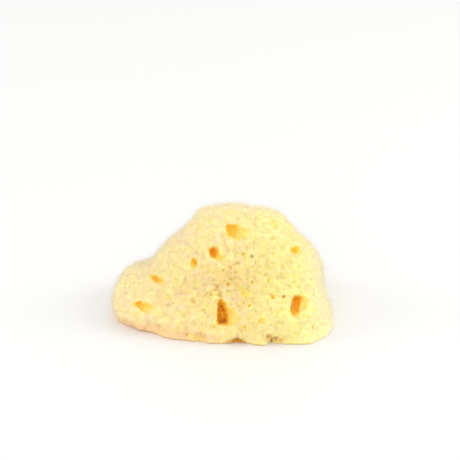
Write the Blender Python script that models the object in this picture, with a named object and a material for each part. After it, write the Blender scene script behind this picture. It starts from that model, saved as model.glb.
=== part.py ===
"""A natural sea sponge: one grown piece, a low mound with an arm to the left, cut flat underneath.

Canals leave the body as round mouths on its upper face. A cleft opens at the front, a wide mouth on
the right, and the edge of the cut base is notched where the sponge grew around stones.

The frame: +Z up, +X to the right as seen from the front, and the front faces -Y. The origin is the
centre of the footprint, on the surface that the sponge rests on.
"""

import math
import random

import bmesh
import bpy
from mathutils import Matrix, Vector, noise
from mathutils.bvhtree import BVHTree

MM = 0.001
SNAP = 1e-6

# Driving dimensions, in millimetres: the body is stretched to this box
WIDTH = 120.0
DEPTH = 82.0
HEIGHT = 59.5

# The front is laid out as a drawing, seen from a point in front of the sponge and above it.
# A place on the drawing is (across, up): to the right of its middle line, and above the front foot.
SIGHT_TILT = math.radians(25.0)
SIGHT_DISTANCE = 600.0
SIGHT_AXIS_UP = 62.7
DRAWING_MIDDLE = Vector((0.0, 0.0, 25.0))
FRONT_FOOT = Vector((18.0, -0.5 * DEPTH, 0.0))
FRONT_FOOT_ACROSS = 14.0

# Body: how coarse its skin is, how softly the lobes run together, and how lumpy it is
LOBE_FINENESS = 4
SKIN_EDGE = 3.9
BLEND_PASSES = 5
BLEND_STRENGTH = 0.5
LUMP_HEIGHT = 1.2
LUMP_LENGTH = 13.0
KNOB_HEIGHT = 0.7
KNOB_LENGTH = 5.5

# Each lobe of the body: its centre and its radii
LOBES = {
    "skirt": ((2.0, -1.0, 5.0), (56.0, 39.5, 19.0)),
    "crown": ((-1.0, 5.0, 15.0), (26.5, 30.0, 46.0)),
    "crown_middle": ((9.0, 5.0, 15.0), (20.0, 28.0, 46.5)),
    "right_shoulder": ((20.0, 5.0, 14.0), (30.5, 31.0, 46.0)),
    "right_flank": ((35.0, 2.0, 16.0), (23.0, 29.0, 30.0)),
    "left_shoulder": ((-15.0, 5.0, 11.0), (25.0, 27.0, 34.0)),
    "left_arm": ((-37.0, 3.0, 9.0), (23.0, 25.0, 16.0)),
    "left_tip": ((-41.0, -6.0, 8.0), (19.5, 24.0, 11.8)),
    "foot": ((26.0, -21.0, 5.0), (23.0, 21.5, 19.0)),
    "right_end": ((41.5, -12.0, 4.0), (19.5, 29.0, 22.0)),
    "back": ((2.0, 14.0, 10.0), (44.0, 26.0, 28.0)),
}

# Each mouth on the drawing: across, up, radius and depth of its canal, the way its lip trails off
# (degrees below the horizontal), and how far the canal leans under the skin, away from that lip
MOUTHS = {
    "eyelet": (-20.3, 45.3, 2.6, 6.0, 20.0, 10.0),
    "shoulder": (24.8, 67.2, 3.6, 3.2, 0.0, 0.0),
    "flank_tail": (33.2, 46.6, 2.0, 1.6, 0.0, 0.0),
    "foot": (18.5, 13.4, 2.2, 5.0, 0.0, 35.0),
    "crease": (24.1, 26.9, 1.6, 5.0, 0.0, 0.0),
    "brow_right": (10.8, 22.2, 1.4, 4.0, 0.0, 0.0),
    "cleft_top": (-0.9, 33.9, 1.2, 3.0, 0.0, 0.0),
    "foot_left": (8.1, 10.0, 1.2, 3.0, 0.0, 0.0),
    "flank_low": (29.7, 42.9, 1.4, 2.2, 0.0, 0.0),
    "flank_dent": (28.4, 38.4, 2.3, 1.4, 0.0, 0.0),
    "mid_right": (21.6, 35.8, 1.2, 3.0, 0.0, 0.0),
    "mid_left": (7.9, 50.1, 1.2, 2.5, 0.0, 0.0),
    "mid": (12.2, 49.2, 1.3, 2.0, 0.0, 0.0),
    "apron_left": (-14.0, 19.2, 1.3, 3.0, 40.0, 30.0),
    "apron_dent": (-20.3, 24.0, 1.6, 1.4, 0.0, 0.0),
    "heel_upper": (45.8, 9.7, 1.3, 3.0, 0.0, 0.0),
    "heel_lower": (36.0, 6.4, 1.3, 2.5, 0.0, 0.0),
    "shoulder_low": (23.9, 59.6, 1.2, 2.5, 0.0, 0.0),
}

# Each slit on the drawing: across, up, half length, half width, depth, and degrees below horizontal
SLITS = {
    "diagonal": (8.0, 28.6, 4.8, 1.3, 1.8, 40.0),
    "apron": (-34.8, 21.1, 2.6, 0.8, 1.6, -8.0),
    "left_rim": (-23.2, 6.5, 2.8, 0.7, 2.4, 2.0),
    "crown": (14.0, 69.9, 2.4, 0.9, 1.6, -68.0),
    "left": (-17.1, 61.8, 3.4, 0.9, 1.4, 72.0),
}

# Hollows with corners: the larger mouths, each deep at its left and trailing off to the right, and
# the cleft with its ramp. Each rounded corner: across, up, distance behind the skin, and radius.
CORNERED = {
    "crown": (
        (-2.2, 67.2, -2.0, 1.0),
        (5.0, 67.0, -2.0, 0.9),
        (-2.3, 62.8, -2.0, 1.0),
        (1.2, 59.2, -2.0, 0.9),
        (4.8, 58.4, -2.0, 0.9),
        (0.2, 64.9, 6.5, 1.3),
        (2.8, 64.6, 5.0, 1.2),
        (1.8, 61.4, 6.5, 1.2),
    ),
    "crown_ramp": (
        (4.8, 66.6, -2.0, 0.7),
        (10.0, 64.2, -2.0, 0.7),
        (10.4, 57.4, -2.0, 0.7),
        (4.0, 58.0, -2.0, 0.7),
        (3.4, 63.6, 5.0, 0.9),
        (4.3, 60.4, 4.4, 0.8),
    ),
    "brow": (
        (-11.0, 54.2, -2.0, 0.9),
        (-7.2, 55.2, -2.0, 0.8),
        (-11.4, 49.8, -2.0, 0.8),
        (-8.8, 47.4, -2.0, 0.8),
        (-5.6, 51.6, -2.0, 0.9),
        (-9.4, 52.0, 9.0, 1.1),
        (-8.8, 49.9, 8.0, 1.0),
    ),
    "brow_ramp": (
        (-6.2, 52.2, -2.0, 0.7),
        (-2.4, 48.8, -2.0, 0.6),
        (-3.2, 45.8, -2.0, 0.6),
        (-8.2, 47.2, -2.0, 0.7),
        (-7.2, 49.8, 4.8, 0.8),
    ),
    "arm_upper": (
        (-44.6, 39.2, -1.5, 0.5),
        (-39.6, 38.4, -1.5, 0.7),
        (-33.4, 33.8, -1.5, 0.5),
        (-36.0, 32.6, -1.5, 0.6),
        (-41.4, 34.6, -1.5, 0.7),
        (-41.6, 36.8, 5.0, 1.0),
        (-39.4, 35.4, 5.5, 0.9),
    ),
    "arm_lower": (
        (-53.8, 23.8, -1.5, 0.7),
        (-49.0, 24.4, -1.5, 0.7),
        (-39.8, 20.2, -1.5, 0.6),
        (-41.8, 17.4, -1.5, 0.6),
        (-48.4, 17.8, -1.5, 0.7),
        (-52.4, 20.8, -1.5, 0.7),
        (-50.8, 22.4, 5.5, 1.0),
        (-47.4, 20.6, 5.0, 1.0),
    ),
    "flank": (
        (33.4, 54.2, -2.0, 0.8),
        (38.6, 54.8, -2.0, 0.8),
        (40.0, 52.6, -2.0, 0.7),
        (38.0, 48.0, -2.0, 0.7),
        (34.3, 50.0, -2.0, 0.8),
        (35.6, 52.2, 7.0, 1.6),
    ),
    "right_end": (
        (36.6, 27.6, -2.0, 1.0),
        (39.8, 27.8, -2.0, 0.9),
        (33.9, 23.4, -2.0, 0.9),
        (33.3, 18.7, -2.0, 0.9),
        (33.5, 15.2, -2.0, 1.0),
        (38.0, 14.2, -2.0, 1.0),
        (40.0, 20.6, -2.0, 1.1),
        (37.2, 24.8, 11.0, 1.3),
        (36.4, 20.8, 12.0, 1.3),
        (36.0, 17.2, 6.0, 1.2),
    ),
    "right_end_scoop": (
        (39.6, 27.8, -2.0, 0.9),
        (44.4, 26.4, -2.0, 0.9),
        (45.8, 23.0, -2.0, 0.9),
        (44.2, 18.8, -2.0, 0.9),
        (38.9, 17.6, -2.0, 0.9),
        (39.4, 24.4, 5.0, 0.9),
        (38.8, 21.0, 5.0, 0.9),
    ),
    "cleft": (
        (-6.6, 24.6, -3.0, 0.9),
        (-4.2, 26.2, -3.0, 0.8),
        (-7.2, 18.4, -3.0, 0.9),
        (-7.0, 10.8, -3.0, 1.0),
        (-0.8, 10.6, -3.0, 1.0),
        (-1.8, 19.4, -3.0, 0.9),
        (-4.9, 22.4, 10.0, 0.9),
        (-5.2, 13.8, 16.0, 1.2),
        (-3.2, 13.6, 16.0, 1.2),
    ),
    "cleft_ramp": (
        (-3.2, 25.4, -3.0, 0.8),
        (2.2, 19.2, -3.0, 0.9),
        (8.6, 11.2, -3.0, 0.9),
        (0.2, 9.4, -3.0, 0.9),
        (-3.2, 20.6, 7.0, 0.9),
        (-2.6, 13.4, 8.0, 1.0),
    ),
}

# Each notch under the rim of the base: centre and radii
NOTCHES = {
    "arch": ((8.0, -41.0, 0.0), (5.6, 4.6, 3.4)),
    "arch_left": ((1.6, -41.0, 0.0), (6.4, 3.6, 2.0)),
    "right_gap": ((26.0, -41.0, 0.6), (3.4, 5.6, 3.2)),
    "right_gap_scoop": ((30.4, -40.6, 1.0), (4.8, 3.4, 3.1)),
    "left_gap": ((-11.0, -38.6, 1.2), (4.4, 4.0, 3.2)),
    "back_gap": ((12.0, 41.0, 0.0), (9.0, 8.0, 4.5)),
    "back_left_gap": ((-30.0, 33.0, 0.0), (7.0, 6.0, 3.6)),
}

# Mouths and pits round the back, the ends and over the top, where the drawing doesn't reach.
# A depth is so many times the radius.
SEED = 7
TRIES = 4000
BACK_MOUTHS = 12
BACK_MOUTH_RADII = (1.9, 4.0)
BACK_MOUTH_DEPTH = 3.2
BACK_MOUTH_SPACING = 15.0
BACK_MOUTH_LEANS = (10.0, 45.0)
PITS = 25
PIT_RADII = (1.2, 1.9)
PIT_DEPTH = 1.8
PIT_SPACING = 7.5
CLEAR_OF_GROUND = 7.0

# What counts as hidden from the drawing: how far the skin turns away, as a cosine.
# Then the steepest way down on which such places are sought, as the sine of its slope.
FACING_AWAY = -0.25
LOWEST_RISE = -0.45

# How finely a hollow is rounded: the least radius, segments round it, and rings along it
ROUNDNESS = ((3.0, 12, 9), (1.7, 9, 7), (0.0, 7, 5))
SHARP_EDGE = math.radians(50.0)

SPONGE_COLOUR = (0.95, 0.77, 0.39, 1.0)
SPONGE_ROUGHNESS = 0.95


def millimetres(values):
    """A point or a size in millimetres, as a vector in metres."""
    return Vector(values) * MM


def clear_scene():
    """Removes the objects that a new file starts with."""
    for obj in list(bpy.data.objects):
        bpy.data.objects.remove(obj, do_unlink=True)


def link(name, bm):
    """Makes a mesh object of a bmesh and puts it in the scene."""
    mesh = bpy.data.meshes.new(name)
    bm.to_mesh(mesh)
    bm.free()
    obj = bpy.data.objects.new(name, mesh)
    bpy.context.scene.collection.objects.link(obj)
    return obj


def apply_modifiers(obj):
    """Replaces an object's mesh by what its modifiers make of it."""
    graph = bpy.context.evaluated_depsgraph_get()
    made = bpy.data.meshes.new_from_object(obj.evaluated_get(graph))
    obj.modifiers.clear()
    obj.data = made


def lobes():
    """All the lobes as overlapping ellipsoids."""
    bm = bmesh.new()
    for centre, radii in LOBES.values():
        place = Matrix.LocRotScale(millimetres(centre), None, millimetres(radii))
        bmesh.ops.create_icosphere(bm, subdivisions=LOBE_FINENESS, radius=1.0, matrix=place)
    return link("sponge", bm)


def run_together(obj):
    """Fuses the lobes into one skin and softens the creases between them."""
    fuse = obj.modifiers.new("fuse", "REMESH")
    fuse.mode = "VOXEL"
    fuse.voxel_size = SKIN_EDGE * MM
    soften = obj.modifiers.new("soften", "SMOOTH")
    soften.factor = BLEND_STRENGTH
    soften.iterations = BLEND_PASSES
    apply_modifiers(obj)


def make_lumpy(bm):
    """Moves the skin in and out by two sizes of soft noise."""
    bm.normal_update()
    moves = []
    for vert in bm.verts:
        lump = noise.noise(vert.co / (LUMP_LENGTH * MM)) * LUMP_HEIGHT
        knob = noise.noise(vert.co / (KNOB_LENGTH * MM)) * KNOB_HEIGHT
        moves.append(vert.normal * (lump + knob) * MM)
    for vert, move in zip(bm.verts, moves):
        vert.co += move


def cut_base(bm):
    """Slices the body flat at the height of the ground and closes the cut."""
    everything = bm.verts[:] + bm.edges[:] + bm.faces[:]
    ground = {"plane_co": (0.0, 0.0, 0.0), "plane_no": (0.0, 0.0, 1.0)}
    bmesh.ops.bisect_plane(bm, geom=everything, dist=SNAP, clear_inner=True, **ground)
    rim = [edge for edge in bm.edges if edge.is_boundary]
    bmesh.ops.edgeloop_fill(bm, edges=rim)
    bmesh.ops.recalc_face_normals(bm, faces=bm.faces)


def fit_to_size(bm):
    """Stretches the body to its width, depth and height, centred over the origin."""
    points = [vert.co for vert in bm.verts]
    low = Vector([min(point[axis] for point in points) for axis in range(3)])
    high = Vector([max(point[axis] for point in points) for axis in range(3)])
    size = high - low
    centre = Vector((0.5 * (low.x + high.x), 0.5 * (low.y + high.y), low.z))
    bmesh.ops.translate(bm, verts=bm.verts, vec=-centre)
    wanted = millimetres((WIDTH, DEPTH, HEIGHT))
    stretch = [goal / now for goal, now in zip(wanted, size)]
    bmesh.ops.scale(bm, verts=bm.verts, vec=stretch)


def body():
    """The plain body: lobes run together, lumpy, cut flat underneath and true to size."""
    obj = lobes()
    run_together(obj)
    bm = bmesh.new()
    bm.from_mesh(obj.data)
    make_lumpy(bm)
    cut_base(bm)
    fit_to_size(bm)
    bm.to_mesh(obj.data)
    bm.free()
    return obj


class Drawing:
    """The front as seen from the sight point: turns (across, up) into places on the skin."""

    def __init__(self, skin):
        """Finds the sight point, from which the front foot lies at its place on the drawing."""
        self.skin = skin
        self.right = Vector((1.0, 0.0, 0.0))
        self.ahead = Vector((0.0, math.cos(SIGHT_TILT), -math.sin(SIGHT_TILT)))
        self.above = Vector((0.0, math.sin(SIGHT_TILT), math.cos(SIGHT_TILT)))
        distance = SIGHT_DISTANCE + (FRONT_FOOT - DRAWING_MIDDLE).dot(self.ahead)
        shrink = distance / SIGHT_DISTANCE
        self.eye = (
            FRONT_FOOT
            - self.ahead * distance
            - self.right * FRONT_FOOT_ACROSS * shrink
            + self.above * SIGHT_AXIS_UP * shrink
        )

    def sight(self, across, up):
        """The direction from the sight point through a place on the drawing."""
        aside = self.right * across + self.above * (up - SIGHT_AXIS_UP)
        return (self.ahead * SIGHT_DISTANCE + aside).normalized()

    def on_skin(self, across, up):
        """The point of the skin at a place on the drawing, and the way the skin faces there."""
        place, normal, _, _ = self.skin.ray_cast(self.eye * MM, self.sight(across, up))
        return place, normal

    def slope(self, degrees_down):
        """The direction on the drawing that lies that far below the horizontal, to the right."""
        turn = math.radians(degrees_down)
        return self.right * math.cos(turn) - self.above * math.sin(turn)


def along_skin(direction, normal):
    """What is left of a direction once it lies flat on the skin."""
    return (direction - normal * direction.dot(normal)).normalized()


def ellipsoid(name, place, axes, radii):
    """An ellipsoid at a place, its radii in millimetres along three axes, its poles on the last."""
    turn = Matrix(axes).transposed().to_quaternion()
    shape = Matrix.LocRotScale(place, turn, millimetres(radii))
    segments, rings = next(fine for least, *fine in ROUNDNESS if radii[0] >= least)
    bm = bmesh.new()
    bmesh.ops.create_uvsphere(bm, u_segments=segments, v_segments=rings, radius=1.0, matrix=shape)
    return link(name, bm)


def mouth(name, place, normal, trail, radius, depth, lean):
    """The hollow of one canal: it runs under the skin, away from where its lip trails off."""
    tilt = math.radians(lean)
    inward = -(normal * math.cos(tilt)) - trail * math.sin(tilt)
    side = inward.cross(trail).normalized()
    return ellipsoid(name, place, (side.cross(inward), side, inward), (radius, radius, depth))


def slit(name, place, normal, run, half_length, half_width, depth):
    """A short groove along the skin."""
    return ellipsoid(name, place, (normal, run.cross(normal), run), (depth, half_width, half_length))


def rounded_wedge(name, drawing, corners):
    """The hollow that a tight skin round a ball at each corner would enclose."""
    bm = bmesh.new()
    for across, up, behind, radius in corners:
        place, _ = drawing.on_skin(across, up)
        centre = place + drawing.sight(across, up) * behind * MM
        ball = Matrix.Translation(centre)
        bmesh.ops.create_icosphere(bm, subdivisions=1, radius=radius * MM, matrix=ball)
    bmesh.ops.delete(bm, geom=bm.edges[:] + bm.faces[:], context="EDGES_FACES")
    bmesh.ops.convex_hull(bm, input=bm.verts[:])
    bmesh.ops.delete(bm, geom=[vert for vert in bm.verts if not vert.link_faces])
    bmesh.ops.recalc_face_normals(bm, faces=bm.faces)
    return link(name, bm)


def drawn_hollows(drawing):
    """The mouths, slits and hollows with corners that the drawing of the front shows."""
    made = []
    for name, (across, up, radius, depth, down, lean) in MOUTHS.items():
        place, normal = drawing.on_skin(across, up)
        trail = along_skin(drawing.slope(down), normal)
        made.append(mouth(f"mouth_{name}", place, normal, trail, radius, depth, lean))
    for name, (across, up, half_length, half_width, depth, down) in SLITS.items():
        place, normal = drawing.on_skin(across, up)
        run = along_skin(drawing.slope(down), normal)
        made.append(slit(f"slit_{name}", place, normal, run, half_length, half_width, depth))
    for name, corners in CORNERED.items():
        made.append(rounded_wedge(f"hollow_{name}", drawing, corners))
    return made


def notches():
    """The hollows under the rim of the base."""
    upright = Matrix.Identity(3)
    return [
        ellipsoid(f"notch_{name}", millimetres(centre), upright, radii)
        for name, (centre, radii) in NOTCHES.items()
    ]


def any_way_out(rng):
    """A direction drawn evenly from all those but the steepest downwards."""
    turn = rng.uniform(0.0, 2.0 * math.pi)
    rise = rng.uniform(LOWEST_RISE, 1.0)
    level = math.sqrt(1.0 - rise * rise)
    return Vector((math.cos(turn) * level, math.sin(turn) * level, rise))


def places_behind(drawing, count, spacing, taken, rng):
    """Places on the skin that the drawing doesn't show, each clear of all those taken."""
    found = []
    heart = DRAWING_MIDDLE * MM
    for _ in range(TRIES):
        if len(found) == count:
            break
        way = any_way_out(rng)
        place, normal, _, _ = drawing.skin.ray_cast(heart + way * WIDTH * MM, -way)
        hidden = normal.dot(drawing.ahead) > FACING_AWAY and place.z > CLEAR_OF_GROUND * MM
        if hidden and all((place - other).length > spacing * MM for other in taken):
            found.append((place, normal))
            taken.append(place)
    return found


def hollows_behind(drawing):
    """Mouths and pits on the back, the ends and the top, in the manner of those in front."""
    rng = random.Random(SEED)
    front = list(MOUTHS.values()) + [corners[0] for corners in CORNERED.values()]
    taken = [drawing.on_skin(across, up)[0] for across, up, *_ in front]
    down = Vector((0.0, 0.0, -1.0))
    made = []
    for place, normal in places_behind(drawing, BACK_MOUTHS, BACK_MOUTH_SPACING, taken, rng):
        radius = rng.uniform(*BACK_MOUTH_RADII)
        lean = rng.uniform(*BACK_MOUTH_LEANS)
        trail = along_skin(down + any_way_out(rng), normal)
        depth = BACK_MOUTH_DEPTH * radius
        made.append(mouth("back_mouth", place, normal, trail, radius, depth, lean))
    for place, normal in places_behind(drawing, PITS, PIT_SPACING, taken, rng):
        radius = rng.uniform(*PIT_RADII)
        trail = along_skin(down, normal)
        made.append(mouth("pit", place, normal, trail, radius, PIT_DEPTH * radius, 0.0))
    return made


def carve(obj, hollows):
    """Cuts every hollow out of the body in one go."""
    cutters = bpy.data.collections.new("hollows")
    for hollow in hollows:
        cutters.objects.link(hollow)
    cut = obj.modifiers.new("hollows", "BOOLEAN")
    cut.operation = "DIFFERENCE"
    cut.solver = "EXACT"
    cut.operand_type = "COLLECTION"
    cut.collection = cutters
    apply_modifiers(obj)
    for hollow in hollows:
        bpy.data.objects.remove(hollow, do_unlink=True)


def paint(obj):
    """Pale warm yellow all over, dry and matt, and smooth but for the lips of the hollows."""
    sponge = bpy.data.materials.new("sponge")
    sponge.use_nodes = True
    shader = sponge.node_tree.nodes["Principled BSDF"]
    shader.inputs["Base Color"].default_value = SPONGE_COLOUR
    shader.inputs["Roughness"].default_value = SPONGE_ROUGHNESS
    shader.inputs["Metallic"].default_value = 0.0
    obj.data.materials.clear()
    obj.data.materials.append(sponge)
    obj.data.shade_smooth()
    obj.data.set_sharp_from_angle(angle=SHARP_EDGE)


def main():
    """Builds the sponge."""
    clear_scene()
    sponge = body()
    skin = BVHTree.FromObject(sponge, bpy.context.evaluated_depsgraph_get())
    drawing = Drawing(skin)
    hollows = drawn_hollows(drawing) + notches() + hollows_behind(drawing)
    carve(sponge, hollows)
    paint(sponge)


main()
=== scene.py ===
"""A dry natural sea sponge: its tufted skin, its canals and the loose fibre that stands on it."""

import math
import random

import bmesh
import bpy
import numpy as np
from mathutils import Matrix, Vector, noise
from mathutils.bvhtree import BVHTree
from mathutils.kdtree import KDTree


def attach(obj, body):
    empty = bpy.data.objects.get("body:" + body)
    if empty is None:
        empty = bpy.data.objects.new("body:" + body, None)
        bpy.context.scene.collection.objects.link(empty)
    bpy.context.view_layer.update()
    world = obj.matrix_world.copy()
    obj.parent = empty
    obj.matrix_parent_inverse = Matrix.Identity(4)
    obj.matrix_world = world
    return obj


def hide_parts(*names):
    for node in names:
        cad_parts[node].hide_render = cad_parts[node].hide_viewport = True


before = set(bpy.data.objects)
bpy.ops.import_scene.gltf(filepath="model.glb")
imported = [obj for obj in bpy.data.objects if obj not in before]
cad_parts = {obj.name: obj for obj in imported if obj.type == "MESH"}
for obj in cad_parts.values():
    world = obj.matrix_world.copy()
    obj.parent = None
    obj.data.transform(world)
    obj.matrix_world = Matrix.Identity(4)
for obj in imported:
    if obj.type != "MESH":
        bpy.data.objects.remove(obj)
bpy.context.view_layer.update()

MM = 0.001
SEED = 11

# The camera, and the drawing of the front that it sees. A place on the drawing is (across, up) in
# millimetres: to the right of the middle line, and above the front foot of the sponge.
SIGHT_TILT = math.radians(25.0)
SIGHT_DISTANCE = 600.0
SIGHT_AXIS_UP = 62.7
DRAWING_MIDDLE = Vector((0.0, 0.0, 25.0))
FRONT_FOOT = Vector((18.0, -41.0, 0.0))
FRONT_FOOT_ACROSS = 14.0
DRAWING_WIDTH = 460 / 1.85
SENSOR_WIDTH = 36.0
CLIP_FROM_TO = (0.01, 50.0)

# The skin: how near two points are to be one, in metres, how fine its mesh is, and how the facets
# of the plain sponge are rubbed away
WELD = 1e-6
SKIN_EDGE = 0.62
SOFTEN_PASSES = 4
SOFTEN_STRENGTH = 0.5

# The skin lies a little under the plain sponge, to leave room for the fibre that stands on it: the
# share of its width, depth and height, and the heights between which this comes in
ROOM_FOR_FIBRE = (0.028, 0.038, 0.03)
ROOM_FROM = (0.0, 12.0)

# The sharp rim of the cut base is rounded: how far up, in how many passes, and how strongly
RIM_HEIGHT = 1.4
RIM_PASSES = 1
RIM_SOFTENING = 0.5

# The rim is then pushed out over the floor: how far, the heights between which this fades out, how
# much a slope counts as a side, and how much less of it the notches get
RIM_SPREAD = 1.5
RIM_SPREAD_FROM = (0.2, 3.2)
RIM_SIDE = 2.5
NOTCH_HELD_BACK = 0.25

# The cut base stays flat: the heights between which the relief comes in
RELIEF_FROM = (0.2, 1.6)

# Loose fibre starts above the rim: the heights between which its density and its length come in,
# and the length it has at the rim, as a share
FIBRE_FROM = (0.2, 1.3)
FIBRE_FULL_LENGTH = (1.0, 9.0)
FIBRE_LENGTH_AT_RIM = 0.25

# There is less and shorter fibre in the hollows and on the ramps that lead into them: where this
# comes in, and the shares that are lost; and the shares lost in the partings and creases with
# painted shade, in the olive pits and in the dark specks of painted shade and dirt
BARE_HOLLOW = (0.1, 0.4)
LENGTH_LOST_IN_HOLLOW = 0.6
FIBRE_LOST = {"hollow": 0.85, "pit": 0.9, "olive": 0.8, "speck": 0.9}

# Painted contact shadow in a faint thin brown line along the floor: how high, and how strong
RIM_SHADOW_LINE = (0.3, 1.3)
RIM_SHADOW_STRENGTH = 0.25

# Soft lumps of the skin: height and length of each size, and the finer ones inside the hollows
LUMPS = ((0.4, 6.0), (0.34, 2.6))
HOLLOW_LUMP = (0.5, 1.9)

# How shut in a point is where the open skin's relief gives way to the inside of a hollow
OPEN_TO_HOLLOW = (0.3, 0.6)

# The skin sways sideways, which makes the lips of the mouths uneven: how far, and over what length
SWAY = 0.75
SWAY_LENGTH = 3.4

# Long low streaks that run out over the fan: height, how many to a turn, length, where they begin,
# are full and end, counted from the heart, and how far below and above it they come in
STREAK_HEIGHT = 0.5
STREAK_TURNS = 13.0
STREAK_LENGTH = 11.0
STREAK_REACH = (3.0, 12.0, 30.0)
STREAK_FROM = (-8.0, 8.0)

# The tufts run outwards over the skin from the heart of the fan, a place on the drawing, and turn
# aside from that here and there: by how much, in radians, and over what length
HEART_ON_DRAWING = (0.0, 30.0)
TURN_MOST = 2.2
TURN_LENGTH = 9.0

# Tufts: how far apart they are at least, the area to each, how long they are for their width, their
# height, how much of that lies below the skin, and how many near ones are looked at from each point
TUFT_SPACING = 1.3
TUFT_AREA = 3.2
TUFT_STRETCH = (1.0, 2.4)
TUFT_HEIGHT = 0.16
TUFT_FLOOR = 0.6
TUFTS_LOOKED_AT = 9

# The least share of their relief that the tufts and partings keep far from the heart
LEAST_VIVID = 0.4

# A pressed shape, such as a pit, fades out at its radius this steeply, and ends at so many radii
PRESS_STEEPNESS = 2.5
PRESS_END = 2.0

# Partings: narrow gaps between tufts, darkened with painted shade: how far apart they are at least,
# the area to each, their half length, half width and depth, how strongly most of them are shallow,
# how dark the faintest painted shade is, and how many near ones are looked at from each point
PARTING_SPACING = 1.3
PARTING_AREA = 6.0
PARTING_HALF_LENGTH = (0.5, 1.3)
PARTING_HALF_WIDTH = (0.4, 0.56)
PARTING_DEPTH = (0.1, 1.4)
PARTING_FEWER_DEEP = 1.5
PARTING_LEAST_DARK = 0.2
PARTINGS_LOOKED_AT = 4

# Round shallow pits all over, most of them on the right: the area to each, how far apart they are
# at least, the share left out elsewhere, where the right begins, radius, depth, and how olive the
# shallowest is
ROUND_PIT_AREA = 12.0
ROUND_PIT_SPACING = 2.4
ROUND_PIT_SKIPPED = 0.75
ROUND_PIT_FROM = (2.0, 16.0)
ROUND_PIT_RADIUS = (0.7, 1.4)
ROUND_PIT_DEPTH = (0.15, 0.7)
ROUND_PIT_LEAST_OLIVE = 0.35

# Fine pits of the front on the drawing: across, up, radius, depth
FINE_PITS = (
    (7.9, 50.1, 0.9, 1.2),
    (12.4, 49.2, 1.2, 0.9),
    (4.9, 45.6, 0.8, 1.2),
    (0.4, 43.1, 0.8, 1.4),
    (3.6, 40.2, 0.7, 1.0),
    (-3.2, 41.1, 0.7, 1.0),
    (24.3, 50.3, 0.9, 1.0),
    (24.0, 56.0, 0.8, 0.8),
    (29.2, 54.1, 0.9, 0.8),
    (14.0, 54.6, 0.7, 0.7),
    (-28.1, 47.8, 0.6, 0.8),
    (-45.4, 32.0, 0.6, 0.6),
    (38.8, 43.2, 0.8, 0.8),
    (45.2, 33.0, 1.1, 0.7),
    (44.2, 15.4, 1.1, 1.0),
    (-9.9, 27.6, 0.8, 1.2),
    (-5.7, 28.2, 1.0, 1.8),
    (-7.6, 31.6, 0.8, 1.2),
    (-8.1, 24.6, 0.8, 1.0),
    (-1.1, 34.1, 0.7, 1.0),
    (30.2, 27.1, 0.7, 1.4),
    (-25.7, 17.8, 0.9, 1.0),
    (-15.0, 19.6, 1.0, 1.0),
    (5.6, 6.8, 0.9, 0.8),
    (21.1, 35.7, 1.0, 0.0),
    (8.1, 10.0, 1.0, 0.0),
    (45.4, 9.7, 1.2, 0.0),
)

# Dark specks in the walls of the hollows, under the notches and in the partings of the middle, most
# of them painted shade and those under the notches partly dirt: across, up, radius, depth, darkness
SHADE_AND_DIRT_SPECKS = (
    (-4.4, 25.2, 0.8, 0.6, 0.9),
    (-4.1, 21.1, 1.1, 1.0, 0.9),
    (-3.0, 19.2, 1.0, 0.9, 1.0),
    (-6.0, 19.2, 0.9, 0.8, 0.9),
    (-6.1, 15.7, 0.9, 0.8, 0.9),
    (-2.4, 16.2, 0.7, 0.6, 0.7),
    (-3.5, 13.0, 1.4, 1.0, 1.0),
    (-5.3, 11.6, 0.9, 0.7, 0.8),
    (-1.8, 11.6, 1.0, 0.8, 0.8),
    (33.8, 19.4, 1.2, 0.5, 1.0),
    (34.2, 21.6, 1.3, 0.5, 1.0),
    (35.0, 23.8, 1.3, 0.5, 1.0),
    (36.2, 25.8, 1.2, 0.5, 1.0),
    (-10.2, 53.6, 0.9, 0.4, 0.4),
    (-10.6, 51.4, 0.9, 0.4, 0.5),
    (-9.8, 48.8, 0.8, 0.4, 0.4),
    (23.1, 28.0, 0.7, 0.6, 0.6),
    (30.4, 27.1, 0.6, 0.8, 0.9),
    (21.8, 4.4, 1.6, 0.9, 1.0),
    (22.4, 2.8, 1.8, 0.9, 1.0),
    (24.6, 3.6, 1.7, 0.9, 0.85),
    (27.4, 3.0, 1.8, 0.5, 0.45),
    (30.0, 3.6, 1.6, 0.3, 0.3),
    (-2.8, 1.6, 1.2, 0.3, 0.6),
    (-0.6, 2.0, 1.6, 0.6, 0.8),
    (1.8, 2.6, 1.9, 0.9, 0.95),
    (3.8, 3.4, 2.0, 0.9, 1.0),
    (5.8, 2.8, 1.9, 0.9, 1.0),
    (7.8, 2.2, 1.7, 0.9, 0.9),
    (-5.9, 28.1, 0.8, 0.4, 0.52),
    (-7.6, 31.9, 0.8, 0.4, 0.38),
    (-10.3, 27.6, 0.7, 0.4, 0.38),
    (-1.1, 34.1, 0.8, 0.4, 0.3),
    (-3.2, 41.6, 0.8, 0.4, 0.38),
    (0.5, 42.7, 0.7, 0.4, 0.45),
    (1.1, 39.5, 0.7, 0.4, 0.38),
    (3.2, 40.0, 0.8, 0.4, 0.3),
    (4.9, 45.4, 0.8, 0.4, 0.38),
    (7.6, 50.8, 0.8, 0.4, 0.3),
    (12.4, 49.2, 1.0, 0.4, 0.35),
    (9.2, 42.2, 0.7, 0.4, 0.3),
    (5.9, 36.2, 0.7, 0.4, 0.3),
    (2.2, 37.3, 0.7, 0.4, 0.3),
    (10.8, 31.9, 0.7, 0.4, 0.3),
    (11.9, 34.1, 0.7, 0.4, 0.3),
    (-8.6, 23.8, 0.9, 0.4, 0.3),
    (-34.1, 21.1, 1.1, 0.4, 0.5),
    (-14.6, 18.9, 0.9, 0.5, 0.45),
    (7.6, 50.2, 0.6, 1.1, 0.4),
    (3.6, 45.2, 0.5, 0.9, 0.4),
    (-23.2, 6.5, 0.9, 0.5, 0.9),
    (-17.9, 6.3, 0.7, 0.4, 0.6),
    (-15.6, 6.4, 0.7, 0.4, 0.6),
)
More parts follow.
